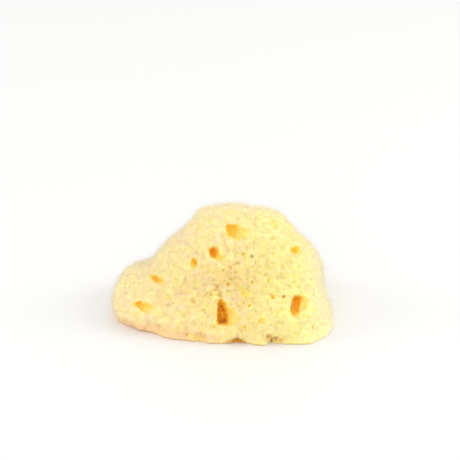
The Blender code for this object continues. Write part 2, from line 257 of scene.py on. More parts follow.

# The ramps and scoops that lead into the hollows, and small pits on the right, have the canals'
# colour, painted shade and glow of light scattered in the sponge: across, up, radius, strength
RAMPS = (
    (42.6, 22.4, 3.6, 0.46),
    (41.4, 26.0, 3.0, 0.46),
    (44.8, 20.6, 3.0, 0.42),
    (36.4, 15.8, 2.2, 0.36),
    (-0.6, 13.6, 2.6, 0.34),
    (1.2, 10.6, 2.6, 0.3),
    (4.0, 8.8, 2.4, 0.2),
    (-1.0, 18.0, 2.0, 0.32),
    (-2.6, 21.6, 1.6, 0.3),
    (6.4, 63.6, 3.2, 0.3),
    (9.0, 62.4, 3.2, 0.26),
    (7.4, 59.4, 2.8, 0.2),
    (32.6, 46.8, 1.8, 0.24),
    (-5.4, 50.2, 2.4, 0.34),
    (-3.8, 48.0, 2.2, 0.3),
    (-2.8, 46.4, 1.8, 0.16),
    (28.6, 4.2, 2.0, 0.4),
    (31.0, 3.8, 1.8, 0.3),
    (-20.6, 5.4, 2.4, 0.24),
    (-17.0, 4.4, 2.4, 0.24),
    (-13.6, 4.0, 2.0, 0.2),
    (8.4, 28.6, 1.8, 0.16),
    (18.1, 13.4, 1.7, 0.36),
    (10.6, 21.9, 1.3, 0.46),
    (22.5, 26.5, 1.3, 0.5),
    (20.5, 35.7, 1.3, 0.42),
    (29.4, 43.2, 1.6, 0.26),
    (27.6, 38.4, 1.9, 0.16),
    (23.8, 49.7, 1.3, 0.3),
    (23.2, 59.5, 1.4, 0.24),
    (24.3, 56.2, 1.2, 0.22),
    (29.2, 54.1, 1.4, 0.22),
    (19.5, 43.8, 1.5, 0.18),
    (8.1, 9.7, 1.5, 0.4),
    (45.2, 9.7, 1.4, 0.34),
    (43.6, 15.7, 1.3, 0.26),
    (35.7, 6.1, 1.8, 0.24),
    (28.6, 19.5, 1.7, 0.14),
    (28.6, 14.1, 1.7, 0.14),
)

# The walls of the cleft are specked all over with painted shade: its place on the drawing, how far
# that reaches, how shut in a specked point is, how long the specks are, how strong the noise is
# where they begin and where they are full, and how dark they are
CLEFT = (-4.0, 17.0)
CLEFT_REACH = (8.0, 12.0)
CLEFT_WALLS = (0.45, 0.7)
CLEFT_SHADE_SPECK = 1.7
CLEFT_SHADE_SPECK_NOISE = (0.05, 0.4)
CLEFT_SHADE_SPECK_STRENGTH = 0.55

# Ridges and creases of the front: the places that each passes on the drawing, its half width, and
# its height, which is below 0 for a crease
DRAWN_LINES = (
    (((1.1, 31.9), (5.4, 24.9), (10.8, 13.0)), 1.1, 0.5),
    (((32.7, 19.5), (33.4, 12.0), (33.5, 5.4)), 0.9, 0.5),
    (((14.6, 21.6), (19.5, 24.0), (21.6, 25.9), (24.3, 27.0)), 0.6, -0.45),
    (((27.0, 26.5), (30.6, 27.0)), 0.5, -0.6),
    (((-48.1, 43.2), (-44.3, 39.5)), 0.6, -0.6),
    (((-55.1, 13.2), (-52.4, 12.4)), 0.6, -0.6),
    (((-46.5, 9.5), (-44.9, 8.9)), 0.6, -0.7),
    (((-40.5, 10.5), (-38.4, 10.0)), 0.6, -0.7),
    (((-24.5, 40.5), (-25.2, 37.0), (-25.4, 33.0)), 0.5, -0.6),
    (((-27.0, 30.8), (-22.7, 28.1)), 0.5, -0.6),
    (((-21.1, 25.4), (-19.5, 23.2)), 0.6, -0.9),
    (((-34.0, 25.0), (-31.0, 23.4), (-27.6, 22.6)), 0.6, -0.5),
    (((-3.2, 59.5), (-2.2, 54.6), (-0.5, 51.9)), 0.7, -0.7),
    (((2.6, 57.4), (2.8, 48.4)), 0.6, -0.4),
    (((14.6, 71.4), (14.0, 67.0)), 0.8, -0.7),
    (((17.4, 55.4), (16.2, 47.0)), 0.7, -0.5),
    (((0.4, 37.0), (3.4, 33.2)), 0.6, -0.6),
    (((-58.4, 32.6), (-50.8, 30.4)), 0.5, -0.4),
)

# They are pressed on in steps of this share of their half width, and creases get this much painted
# shade
DRAWN_STEP = 0.5
CREASE_SHADE = 0.7

# Low down on the left the skin is painted peach, as painted shade of the underside near the floor:
# the heights and the places where this fades out
LOW_SHADE_HEIGHTS = (2.0, 8.0)
LOW_SHADE_SIDE = (-12.0, 0.0)

# The painted glow in the hollows on the right is gold, not orange: where this comes in. The wide
# one
# at the right end stays orange: its place on the drawing, and how far from it the gold begins
GOLD_RIGHT = (14.0, 17.0)
WIDE_MOUTH = (35.5, 21.5)
WIDE_MOUTH_REACH = (9.0, 12.0)

# The relief is calmer on the right: where this comes in, and by how much
CALM_RIGHT = (12.0, 35.0)
CALM_SHARE = 0.4

# How far from the heart the fibre is warmer in colour and its partings are deeper: to the sides,
# above it and below it
WARM_REACH = (40.0, 26.0, 60.0)

# What the skin and the loose fibre store at each point, for their colours
STORED = ("hollow", "gold", "pit", "tuft", "warm", "olive", "speck", "low", "fray")

# What a loose fibre stores at its tip, where that isn't what its root stores
TIP_VALUES = {"pit": 0.0, "tuft": 1.0, "olive": 0.0}

# How the hollows are told from the open skin: how many ways are tried from each point, how far,
# and from what height above it
SKY_RAYS = 20
SKY_REACH = 14.0
SKY_LIFT = 0.6

# Loose fibre: how many stand on a square millimetre, their length (the shortest, how much more an
# average one has, and the longest), their thickness, the share of the length that is sunk in the
# skin, the height that they keep above the floor, and how they lean and spread. The long ones are
# painted pale, partly as their own frayed tips and partly as painted glow of the light through the
# fuzz: from what length on, and how pale the root is beside the tip
FIBRES_PER_AREA = 8.0
FIBRE_LENGTH = (0.5, 1.1, 4.8)
FIBRE_RADIUS = (0.04, 0.075)
FIBRE_SUNK = 0.15
FIBRE_OFF_FLOOR = 0.02
FIBRE_LEAN = 0.08
FIBRE_SPREAD = 0.26
FRAY_AND_GLOW_LENGTH = (0.7, 2.0)
FRAY_AND_GLOW_ROOT = 0.5
FIBRES_IN_A_PIECE = 48000

# Where each colour comes in: by a stored number, by how far to the right in metres, or by a cloud,
# whose size in millimetres comes first
TUFT_SHADE = (0.1, 0.9)
PEACH_CLOUD = (4.5, 0.46, 0.66)
TIP_CLOUD = (2.4, 0.5, 0.7)
LEMON_SHADE = (0.008, 0.042)
PALE_SHADE = (0.034, 0.060)
PIT_SHADE = (0.1, 0.9)
CANAL_SHADE = (0.06, 0.3)
DEEP_SHADE = (0.5, 0.9)

# The clouds of colour are drawn out upwards, and have some finer cloud in them
UPRIGHT = (1.0, 1.0, 0.4)
CLOUD_DETAIL = 2.0
CLOUD_ROUGHNESS = 0.6

# Dry fibre: how matt it is, its gloss, the share of the light that scatters in the thick skin, and
# how far each colour of it gets, in metres
FIBRE_MATT = 0.9
FIBRE_GLOSS = 0.08
SKIN_SCATTERING = 0.5
SCATTERED_COLOURS = (1.0, 0.5, 0.2)
SCATTERED_OVER = 0.0015

# Light: the even light all round, and square lamps (name, power, width, azimuth, elevation and
# distance). It is followed until it has left the pale canals
WORLD_LIGHT = 0.965
LAMPS = (
    ("right_lamp", 18.5, 1.0, 95.0, 33.0, 2.5),
    ("left_lamp", 10.0, 1.0, -95.0, 30.0, 2.5),
    ("front_lamp", 13.5, 1.6, -8.0, 32.0, 2.5),
)
LIGHT_BOUNCES = 40

# The floor
FLOOR_HALF_WIDTH = 4.0
FLOOR_COLOUR = (0.785, 0.782, 0.772, 1.0)
FLOOR_MATT = 0.35
FLOOR_GLOSS = 0.3

# Colours, as light reflected from 0 to 1
WHITE = (1.0, 1.0, 1.0, 1.0)
# Pale long fibre: partly its own frayed tips, partly painted glow of light through the fuzz
FRAY_AND_GLOW_COLOUR = (1.0, 0.98, 0.88, 1.0)
TIP_COLOUR = (1.0, 0.87, 0.46, 1.0)
BODY_COLOUR = (1.0, 0.80, 0.36, 1.0)
LEMON_COLOUR = (1.0, 0.87, 0.37, 1.0)
WARM_COLOUR = (1.0, 0.77, 0.30, 1.0)
PEACH_COLOUR = (1.0, 0.77, 0.44, 1.0)
# Painted shade of the underside low down on the left
LOW_SHADE_COLOUR = (1.0, 0.67, 0.36, 1.0)
# Painted shade in the partings and creases
PARTING_SHADE_COLOUR = (0.72, 0.49, 0.15, 1.0)
OLIVE_COLOUR = (0.84, 0.77, 0.24, 1.0)
# Brown painted shade in the specks, the cleft walls and the contact shadow at the rim; partly dirt
# under the notches
SHADE_AND_DIRT_COLOUR = (0.58, 0.22, 0.0, 1.0)
# Painted shade and glow of light scattered in the hollows: orange, and gold on the right
CANAL_PAINTED_LIGHT = (1.0, 0.785, 0.23, 1.0)
DEEP_PAINTED_LIGHT = (0.98, 0.68, 0.07, 1.0)
GOLD_PAINTED_LIGHT = (1.0, 0.86, 0.36, 1.0)
DEEP_GOLD_PAINTED_LIGHT = (1.0, 0.84, 0.17, 1.0)
PALE_COLOUR = (1.0, 0.88, 0.53, 1.0)


def on_drawing():
    """The eye in front of the sponge and the three directions of the drawing, in metres."""
    right = Vector((1.0, 0.0, 0.0))
    ahead = Vector((0.0, math.cos(SIGHT_TILT), -math.sin(SIGHT_TILT)))
    above = Vector((0.0, math.sin(SIGHT_TILT), math.cos(SIGHT_TILT)))
    distance = SIGHT_DISTANCE + (FRONT_FOOT - DRAWING_MIDDLE).dot(ahead)
    shrink = distance / SIGHT_DISTANCE
    aside = above * SIGHT_AXIS_UP * shrink - right * FRONT_FOOT_ACROSS * shrink
    eye = FRONT_FOOT - ahead * distance + aside
    return eye * MM, right, ahead, above


EYE, RIGHT, AHEAD, ABOVE = on_drawing()


def make_camera():
    """The camera stands at the eye and frames the whole drawing."""
    data = bpy.data.cameras.new("camera")
    data.sensor_width = SENSOR_WIDTH
    data.lens = SENSOR_WIDTH * SIGHT_DISTANCE / DRAWING_WIDTH
    data.clip_start, data.clip_end = CLIP_FROM_TO
    camera = bpy.data.objects.new("camera", data)
    turn = Matrix((RIGHT, ABOVE, -AHEAD)).transposed().to_4x4()
    camera.matrix_world = Matrix.Translation(EYE) @ turn
    bpy.context.scene.collection.objects.link(camera)
    bpy.context.scene.camera = camera


def add_object(name, mesh):
    """Puts a mesh in the scene under a name."""
    obj = bpy.data.objects.new(name, mesh)
    bpy.context.scene.collection.objects.link(obj)
    return obj


def apply_modifiers(obj):
    """Replaces an object's mesh by what its modifiers make of it."""
    graph = bpy.context.evaluated_depsgraph_get()
    made = bpy.data.meshes.new_from_object(obj.evaluated_get(graph))
    obj.modifiers.clear()
    obj.data = made


def place_on_skin(tree, across, up):
    """The point of the skin at a place on the drawing, or nearest to it, in metres."""
    aside = RIGHT * across + ABOVE * (up - SIGHT_AXIS_UP)
    sight = (AHEAD * SIGHT_DISTANCE + aside).normalized()
    place, _, _, _ = tree.ray_cast(EYE, sight)
    if place is None:
        place, _, _, _ = tree.find_nearest(EYE - sight * (EYE.z / sight.z))
    return place


def even_skin(node):
    """A fine even mesh over the plain sponge, its facets rubbed away."""
    bm = bmesh.new()
    bm.from_mesh(node.data)
    bmesh.ops.remove_doubles(bm, verts=bm.verts, dist=WELD)
    mesh = bpy.data.meshes.new("sponge_skin")
    bm.to_mesh(mesh)
    bm.free()
    obj = add_object("sponge_skin", mesh)
    even = obj.modifiers.new("even", "REMESH")
    even.mode = "VOXEL"
    even.voxel_size = SKIN_EDGE * MM
    soften = obj.modifiers.new("soften", "SMOOTH")
    soften.factor = SOFTEN_STRENGTH
    soften.iterations = SOFTEN_PASSES
    apply_modifiers(obj)
    round_the_rim(obj)
    return obj


def round_the_rim(obj):
    """Softens the lowest part of the skin until the cut base meets it in a round edge."""
    bm = bmesh.new()
    bm.from_mesh(obj.data)
    low = [vert for vert in bm.verts if vert.co.z < RIM_HEIGHT * MM]
    all_ways = {"use_axis_x": True, "use_axis_y": True, "use_axis_z": True}
    for _ in range(RIM_PASSES):
        bmesh.ops.smooth_vert(bm, verts=low, factor=RIM_SOFTENING, **all_ways)
    bm.to_mesh(obj.data)
    bm.free()


def vectors(collection, attribute, count):
    """A three-number attribute of every item of a collection, as an array."""
    flat = np.empty(count * 3, dtype=np.float32)
    collection.foreach_get(attribute, flat)
    return flat.reshape(-1, 3).astype(np.float64)


def unit(rows):
    """Each row scaled to length one."""
    return rows / np.maximum(np.linalg.norm(rows, axis=1, keepdims=True), 1e-12)


def dots(a, b):
    """The dot product of each pair of rows."""
    return np.einsum("...i,...i->...", a, b)


def smooth_step(low, high, values):
    """0 below low, 1 above high, and a soft rise between."""
    t = np.clip((values - low) / (high - low), 0.0, 1.0)
    return t * t * (3.0 - 2.0 * t)


class Skin:
    """The points of the skin, which way each faces, and which way its tufts run. Millimetres."""

    def __init__(self, obj, heart):
        """Reads the mesh."""
        mesh = obj.data
        mesh.calc_loop_triangles()
        count = len(mesh.vertices)
        corners = np.empty(len(mesh.loop_triangles) * 3, dtype=np.int32)
        mesh.loop_triangles.foreach_get("vertices", corners)
        self.triangles = corners.reshape(-1, 3)
        self.place = vectors(mesh.vertices, "co", count) / MM
        self.out = vectors(mesh.vertex_normals, "vector", count)
        self.heart = heart
        away = self.place - heart
        self.heart_distance = np.linalg.norm(away, axis=1)
        run = unit(away - self.out * dots(away, self.out)[:, None])
        side = np.cross(self.out, run)
        turn = (TURN_MOST * noise_at(self.place, TURN_LENGTH))[:, None]
        self.run = run * np.cos(turn) + side * np.sin(turn)
        self.side = np.cross(self.out, self.run)
        a, b, c = (self.place[self.triangles[:, corner]] for corner in range(3))
        self.areas = 0.5 * np.linalg.norm(np.cross(b - a, c - a), axis=1)
        self.area = self.areas.sum()
        self.tree = KDTree(count)
        for index, place in enumerate(self.place):
            self.tree.insert(place, index)
        self.tree.balance()

    def blank(self):
        """A nought for each point."""
        return np.zeros(len(self.place))

    def press(self, values, centre, radius, amount):
        """Raises the values round a place to an amount, fading out past the radius."""
        for _, index, apart in self.tree.find_range(centre, PRESS_END * radius):
            reach = math.exp(-((apart / radius) ** PRESS_STEEPNESS))
            values[index] = max(values[index], amount * reach)


def scattered(skin, spacing, area, rng):
    """Points of the skin, unevenly spread, at least a spacing apart, so many to the area."""
    order = list(range(len(skin.place)))
    rng.shuffle(order)
    wanted = int(skin.area / area)
    cells = {}
    chosen = []
    places = skin.place.tolist()
    steps = [(i, j, k) for i in (-1, 0, 1) for j in (-1, 0, 1) for k in (-1, 0, 1)]
    limit = spacing * spacing
    for index in order:
        if len(chosen) == wanted:
            break
        x, y, z = places[index]
        a, b, c = int(x // spacing), int(y // spacing), int(z // spacing)
        near = (spot for i, j, k in steps for spot in cells.get((a + i, b + j, c + k), ()))
        if all((p - x) ** 2 + (q - y) ** 2 + (r - z) ** 2 >= limit for p, q, r in near):
            cells.setdefault((a, b, c), []).append((x, y, z))
            chosen.append(index)
    return np.array(chosen)


def nearest(skin, seeds, count):
    """For each point of the skin, the seeds nearest to it, as rows of positions in seeds."""
    tree = KDTree(len(seeds))
    for position, index in enumerate(seeds):
        tree.insert(skin.place[index], position)
    tree.balance()
    rows = [[found[1] for found in tree.find_n(place, count)] for place in skin.place]
    return np.array(rows)


def stretched_offsets(skin, seeds, rows):
    """How far each point is from its nearest seeds: along their run, across it, off the skin."""
    centre = seeds[rows]
    offset = skin.place[:, None, :] - skin.place[centre]
    along = dots(offset, skin.run[centre])
    across = dots(offset, skin.side[centre])
    off = dots(offset, skin.out[centre])
    return along, across, off


def tufts(skin, rng):
    """Heights of the rounded tufts: 1 at the middle of a tuft and 0 where two meet."""
    seeds = scattered(skin, TUFT_SPACING, TUFT_AREA, rng)
    rows = nearest(skin, seeds, TUFTS_LOOKED_AT)
    along, across, off = stretched_offsets(skin, seeds, rows)
    draw = np.random.default_rng(SEED)
    stretch = draw.uniform(*TUFT_STRETCH, len(seeds))[rows]
    apart = np.sort(np.sqrt((along / stretch) ** 2 + across**2 + off**2), axis=1)
    return 1.0 - (apart[:, 0] / apart[:, 1]) ** 2


def partings(skin, rng):
    """Depths of the narrow gaps between tufts, and how much painted shade each point in them gets.
    """
    seeds = scattered(skin, PARTING_SPACING, PARTING_AREA, rng)
    rows = nearest(skin, seeds, PARTINGS_LOOKED_AT)
    along, across, off = stretched_offsets(skin, seeds, rows)
    draw = np.random.default_rng(SEED + 1)
    half_length = draw.uniform(*PARTING_HALF_LENGTH, len(seeds))[rows]
    half_width = draw.uniform(*PARTING_HALF_WIDTH, len(seeds))[rows]
    strength = (draw.uniform(0.0, 1.0, len(seeds)) ** PARTING_FEWER_DEEP)[rows]
    reach = np.exp(-((along / half_length) ** 2) - (across / half_width) ** 2 - off**2)
    shallow, deep = PARTING_DEPTH
    depth = reach * (shallow + (deep - shallow) * strength)
    dark = reach * (PARTING_LEAST_DARK + (1.0 - PARTING_LEAST_DARK) * strength)
    return depth.max(axis=1), dark.max(axis=1)


def fine_pits(skin, tree):
    """Depths of the small pits of the front, and how olive each point in them is."""
    depth, olive = skin.blank(), skin.blank()
    for across, up, radius, deep in FINE_PITS:
        centre = place_on_skin(tree, across, up) / MM
        skin.press(depth, centre, radius, deep)
        skin.press(olive, centre, radius, 1.0)
    return depth, olive


def round_pits(skin, rng):
    """Depths of the shallow round pits, most of them on the right, and how olive they are."""
    depth, olive = skin.blank(), skin.blank()
    shallow, deep = ROUND_PIT_DEPTH
    pale = ROUND_PIT_LEAST_OLIVE
    for index in scattered(skin, ROUND_PIT_SPACING, ROUND_PIT_AREA, rng):
        place = skin.place[index]
        if rng.random() < ROUND_PIT_SKIPPED * (1.0 - smooth_step(*ROUND_PIT_FROM, place[0])):
            continue
        radius = rng.uniform(*ROUND_PIT_RADIUS)
        strength = rng.random()
        skin.press(depth, place, radius, shallow + (deep - shallow) * strength)
        skin.press(olive, place, radius, pale + (1.0 - pale) * strength)
    return depth, olive


def specks(skin, tree):
    """Depths of the dark specks, and how dark each point in them is, as painted shade and some
    dirt.
    """
    depth, dark = skin.blank(), skin.blank()
    for across, up, radius, deep, darkness in SHADE_AND_DIRT_SPECKS:
        centre = place_on_skin(tree, across, up) / MM
        skin.press(depth, centre, radius, deep)
        skin.press(dark, centre, radius, darkness)
    return depth, dark


def cleft_specks(skin, tree):
    """How dark each point is with painted shade in the specked walls of the cleft."""
    cleft = np.array(place_on_skin(tree, *CLEFT)) / MM
    apart = np.linalg.norm(skin.place - cleft, axis=1)
    inside = (1.0 - smooth_step(*CLEFT_REACH, apart)) * smooth_step(*CLEFT_WALLS, skin.hollow)
    dark = smooth_step(*CLEFT_SHADE_SPECK_NOISE, noise_at(skin.place, CLEFT_SHADE_SPECK))
    return CLEFT_SHADE_SPECK_STRENGTH * inside * dark


def drawn_lines(skin, tree):
    """Heights of the ridges and depths of the creases."""
    ridge, crease = skin.blank(), skin.blank()
    for corners, half_width, height in DRAWN_LINES:
        for start, end in zip(corners, corners[1:]):
            start, end = Vector(start), Vector(end)
            steps = max(1, round((end - start).length / (DRAWN_STEP * half_width)))
            for step in range(steps + 1):
                spot = start.lerp(end, step / steps)
                centre = place_on_skin(tree, spot.x, spot.y) / MM
                skin.press(ridge if height > 0.0 else crease, centre, half_width, abs(height))
    return ridge, crease


def noise_at(places, length):
    """Smooth noise at each place, about as long as given."""
    return np.array([noise.noise(place) for place in (places / length).tolist()])


def lumps(skin):
    """Heights of the soft lumps of the skin."""
    return sum(tall * noise_at(skin.place, length) for tall, length in LUMPS)


def streaks(skin):
    """Heights of the long low streaks that run out from the heart, upwards and to the sides."""
    away = skin.place - skin.heart
    turn = np.arctan2(away[:, 0], away[:, 2])
    rounds = turn * STREAK_TURNS
    along = np.stack([rounds, skin.heart_distance / STREAK_LENGTH, np.zeros_like(turn)], axis=1)
    start, full, last = STREAK_REACH
    reach = smooth_step(start, full, skin.heart_distance)
    reach = reach * np.exp(-((skin.heart_distance / last) ** 4))
    return STREAK_HEIGHT * noise_at(along, 1.0) * reach * smooth_step(*STREAK_FROM, away[:, 2])


def sway(skin):
    """How far each point is pushed aside, in all directions."""
    places = (skin.place / SWAY_LENGTH).tolist()
    return SWAY * np.array([noise.noise_vector(place) for place in places])


def sky_ways():
    """Directions spread over the half of space above a point, more of them near straight up."""
    ways = []
    golden = math.pi * (3.0 - math.sqrt(5.0))
    for index in range(SKY_RAYS):
        share = (index + 0.5) / SKY_RAYS
        level = math.sqrt(share)
        turn = golden * index
        ways.append((level * math.cos(turn), level * math.sin(turn), math.sqrt(1.0 - share)))
    return ways


def hollowness(skin, tree):
    """How far each point is shut in by the walls of a hollow: 0 in the open, 1 deep in a canal."""
    ways = sky_ways()
    blocked = np.zeros(len(skin.place))
    starts = ((skin.place + skin.out * SKY_LIFT) * MM).tolist()
    for across, along, up in ways:
        rays = skin.side * across + skin.run * along + skin.out * up
        for index, (start, ray) in enumerate(zip(starts, rays.tolist())):
            hit = tree.ray_cast(start, ray, SKY_REACH * MM)
            if hit[3] is not None:
                blocked[index] += 1.0
    return blocked / len(ways)


def write_attribute(mesh, name, values):
    """Stores one number for each point of a mesh."""
    attribute = mesh.attributes.new(name, "FLOAT", "POINT")
    attribute.data.foreach_set("value", values.astype(np.float32))


def room_for_fibre(skin):
    """What each point's place is multiplied by, so that the skin lies under the fibre's tips."""
    rise = smooth_step(*ROOM_FROM, skin.place[:, 2])
    return 1.0 - rise[:, None] * np.array(ROOM_FOR_FIBRE)


def rim_spread(skin):
    """How far the rim of the cut base is pushed out over the floor."""
    level = skin.out * np.array((1.0, 1.0, 0.0))
    facing = np.minimum(RIM_SIDE * np.linalg.norm(level, axis=1), 1.0)
    low = 1.0 - smooth_step(*RIM_SPREAD_FROM, skin.place[:, 2])
    return RIM_SPREAD * unit(level) * (facing * low)[:, None]


def rim_shadow(skin):
    """How much painted contact shadow, in brown, the rim gets where it meets the floor."""
    return RIM_SHADOW_STRENGTH * (1.0 - smooth_step(*RIM_SHADOW_LINE, skin.place[:, 2]))


def gold(skin, tree):
    """1 on the right, where the hollows' painted glow is gold, and 0 at the wide mouth and on the
    left.
    """
    wide_mouth = np.array(place_on_skin(tree, *WIDE_MOUTH)) / MM
    apart = np.linalg.norm(skin.place - wide_mouth, axis=1)
    return smooth_step(*GOLD_RIGHT, skin.place[:, 0]) * smooth_step(*WIDE_MOUTH_REACH, apart)


def warmth(skin):
    """1 at the heart, falling off to the sides, fast above it and slowly below it."""
    aside, above, below = WARM_REACH
    away = skin.place - skin.heart
    rise = np.where(away[:, 2] > 0.0, away[:, 2] / above, away[:, 2] / below)
    level = np.hypot(away[:, 0], away[:, 1]) / aside
    return np.exp(-(rise**2) - level**2)


def shape_skin(obj, skin, tree):
    """Gives the skin its lumps, tufts, partings and pits, and stores what its colours need."""
    rng = random.Random(SEED)
    noise.seed_set(SEED)
    skin.hollow = hollowness(skin, tree)
    open_skin = 1.0 - smooth_step(*OPEN_TO_HOLLOW, skin.hollow)
    # The ramps and scoops get the hollows' painted shade and glow
    for across, up, radius, strength in RAMPS:
        skin.press(skin.hollow, place_on_skin(tree, across, up) / MM, radius, strength)
    skin.warm = warmth(skin)
    # Painted shade: peach low down on the left, where the underside near the floor is shaded
    skin.low = 1.0 - smooth_step(*LOW_SHADE_HEIGHTS, skin.place[:, 2])
    skin.low *= 1.0 - smooth_step(*LOW_SHADE_SIDE, skin.place[:, 0])
    skin.gold = gold(skin, tree)
    calm = CALM_SHARE * smooth_step(*CALM_RIGHT, skin.place[:, 0])
    vivid = (LEAST_VIVID + (1.0 - LEAST_VIVID) * skin.warm) * (1.0 - calm)
    skin.tuft = tufts(skin, rng)
    gap, gap_dark = partings(skin, rng)
    fine, fine_olive = fine_pits(skin, tree)
    broad, broad_olive = round_pits(skin, rng)
    speck, speck_dark = specks(skin, tree)
    ridge, crease = drawn_lines(skin, tree)
    relief = TUFT_HEIGHT * (skin.tuft - TUFT_FLOOR) * vivid - gap * vivid
    relief = relief + lumps(skin) + streaks(skin)
    relief += ridge - crease - np.maximum(fine, broad)
    inner_height, inner_length = HOLLOW_LUMP
    inner = inner_height * noise_at(skin.place, inner_length)
    height = relief * open_skin + inner * (1.0 - open_skin) - speck
    fade = smooth_step(*RELIEF_FROM, skin.place[:, 2])
    # Painted shade in the partings and along the creases
    skin.pit = np.maximum(gap_dark * vivid, CREASE_SHADE * np.minimum(crease, 1.0)) * open_skin
    skin.olive = np.maximum(fine_olive, broad_olive * open_skin)
    # Painted shade in the dark specks, the cleft walls and the rim's contact shadow, partly dirt
    # under the notches
    skin.speck = np.maximum.reduce((speck_dark, rim_shadow(skin), cleft_specks(skin, tree)))
    skin.fray = skin.blank()
    pushed = (skin.out * height[:, None] + sway(skin)) * fade[:, None]
    spread = rim_spread(skin) * (1.0 - NOTCH_HELD_BACK * speck_dark)[:, None]
    skin.place = skin.place * room_for_fibre(skin) + spread + pushed
    skin.place[:, 2] = np.maximum(skin.place[:, 2], 0.0)
    obj.data.vertices.foreach_set("co", (skin.place * MM).astype(np.float32).ravel())
    for name in STORED:
        write_attribute(obj.data, name, getattr(skin, name))
    obj.data.update()
    obj.data.shade_smooth()


def one_fibre():
    """The shape that every loose fibre is a copy of: a closed spike of length and radius one."""
    bm = bmesh.new()
    up = Matrix.Translation((0.0, 0.0, 0.5))
    sizes = {"segments": 3, "radius1": 1.0, "radius2": 0.0, "depth": 1.0}
    bmesh.ops.create_cone(bm, cap_ends=True, cap_tris=False, matrix=up, **sizes)
    bmesh.ops.remove_doubles(bm, verts=bm.verts, dist=WELD)
    bmesh.ops.recalc_face_normals(bm, faces=bm.faces)
    points = np.array([vert.co for vert in bm.verts])
    faces = np.array([[vert.index for vert in face.verts] for face in bm.faces])
    bm.free()
    return points, faces


def joined_copies(name, places, faces):
    """One mesh of many copies of a shape with three-sided faces, given the points of each copy."""
    copies, corners = places.shape[:2]
    joined = (faces[None, :, :] + (np.arange(copies) * corners)[:, None, None]).reshape(-1, 3)
    mesh = bpy.data.meshes.new(name)
    mesh.vertices.add(copies * corners)
    mesh.vertices.foreach_set("co", (places * MM).astype(np.float32).ravel())
    mesh.loops.add(joined.size)
    mesh.loops.foreach_set("vertex_index", joined.astype(np.int32).ravel())
    mesh.polygons.add(len(joined))
    mesh.polygons.foreach_set("loop_start", np.arange(0, joined.size, 3, dtype=np.int32))
    mesh.update(calc_edges=True)
    mesh.validate()
    return mesh


def fibre_piece(name, skin, roots, draw):
    """One mesh of many loose fibres, each standing on the skin at its root."""
    points, faces = one_fibre()
    count = len(roots)
    corner = skin.triangles[roots]
    share = draw.dirichlet((1.0, 1.0, 1.0), count)
    root = np.einsum("ij,ijk->ik", share, skin.place[corner])
    first = corner[:, 0]
    way = skin.out[first] + skin.run[first] * FIBRE_LEAN
    way = unit(way + draw.normal(0.0, FIBRE_SPREAD, (count, 3)))
    shortest, more, longest = FIBRE_LENGTH
    length = np.minimum(shortest + draw.exponential(more, count), longest)
    length *= 1.0 - LENGTH_LOST_IN_HOLLOW * smooth_step(*BARE_HOLLOW, skin.hollow[first])
    grown = smooth_step(*FIBRE_FULL_LENGTH, skin.place[first, 2])
    length *= FIBRE_LENGTH_AT_RIM + (1.0 - FIBRE_LENGTH_AT_RIM) * grown
    radius = draw.uniform(*FIBRE_RADIUS, count)
    turn = unit(np.cross(way, draw.normal(0.0, 1.0, (count, 3))))
    third = np.cross(way, turn)
    made = (
        root[:, None, :]
        + points[None, :, 0, None] * (turn * radius[:, None])[:, None, :]
        + points[None, :, 1, None] * (third * radius[:, None])[:, None, :]
        + (points[None, :, 2, None] - FIBRE_SUNK) * (way * length[:, None])[:, None, :]
    )
    made[:, :, 2] = np.maximum(made[:, :, 2], FIBRE_OFF_FLOOR)
    mesh = joined_copies(name, made, faces)
    tip = np.tile(points[:, 2], count)
    # The long fibre is painted pale: partly frayed tips, partly painted glow
    frayed = np.repeat(smooth_step(*FRAY_AND_GLOW_LENGTH, length), len(points))
    for stored in STORED:
        at_root = np.repeat(getattr(skin, stored)[first], len(points))
        at_tip = TIP_VALUES.get(stored, at_root)
        if stored == "fray":
            at_root, at_tip = FRAY_AND_GLOW_ROOT * frayed, frayed
        write_attribute(mesh, stored, at_root * (1.0 - tip) + at_tip * tip)
    return add_object(name, mesh)


def make_fibres(skin):
    """The loose fibre all over the open skin, in several pieces."""
    draw = np.random.default_rng(SEED + 2)
    first = skin.triangles[:, 0]
    hollow = smooth_step(*BARE_HOLLOW, skin.hollow[first])
    density = skin.areas * (1.0 - FIBRE_LOST["hollow"] * hollow)
    density = density * smooth_step(*FIBRE_FROM, skin.place[first, 2])
    for stored in ("pit", "olive", "speck"):
        density = density * (1.0 - FIBRE_LOST[stored] * getattr(skin, stored)[first])
    count = int(density.sum() * FIBRES_PER_AREA)
    roots = draw.choice(len(density), size=count, p=density / density.sum())
    pieces = []
    for number, start in enumerate(range(0, count, FIBRES_IN_A_PIECE), 1):
        chosen = roots[start : start + FIBRES_IN_A_PIECE]
        pieces.append(fibre_piece(f"loose_fibre_{number}", skin, chosen, draw))
    return pieces


def add_node(tree, kind, inputs=(), **values):
    """Adds a shader node, sets its values, and sets or links its inputs by name or number."""
    made = tree.nodes.new(kind)
    for name, value in values.items():
        setattr(made, name, value)
    for name, value in dict(inputs).items():
        if isinstance(value, bpy.types.NodeSocket):
            tree.links.new(value, made.inputs[name])
        else:
            made.inputs[name].default_value = value
    return made


def attribute(tree, name):
    """The number that the mesh stores at each point under a name."""
    return add_node(tree, "ShaderNodeAttribute", attribute_name=name).outputs["Fac"]


def rise(tree, value, low, high):
    """0 where a value is below low, 1 above high."""
    inputs = {"Value": value, "From Min": low, "From Max": high}
    made = add_node(tree, "ShaderNodeMapRange", inputs, interpolation_type="SMOOTHSTEP")
    return made.outputs["Result"]


def shade(tree, name, low_and_high):
    """How far a stored number has risen from a low to a high one, from 0 to 1."""
    return rise(tree, attribute(tree, name), *low_and_high)


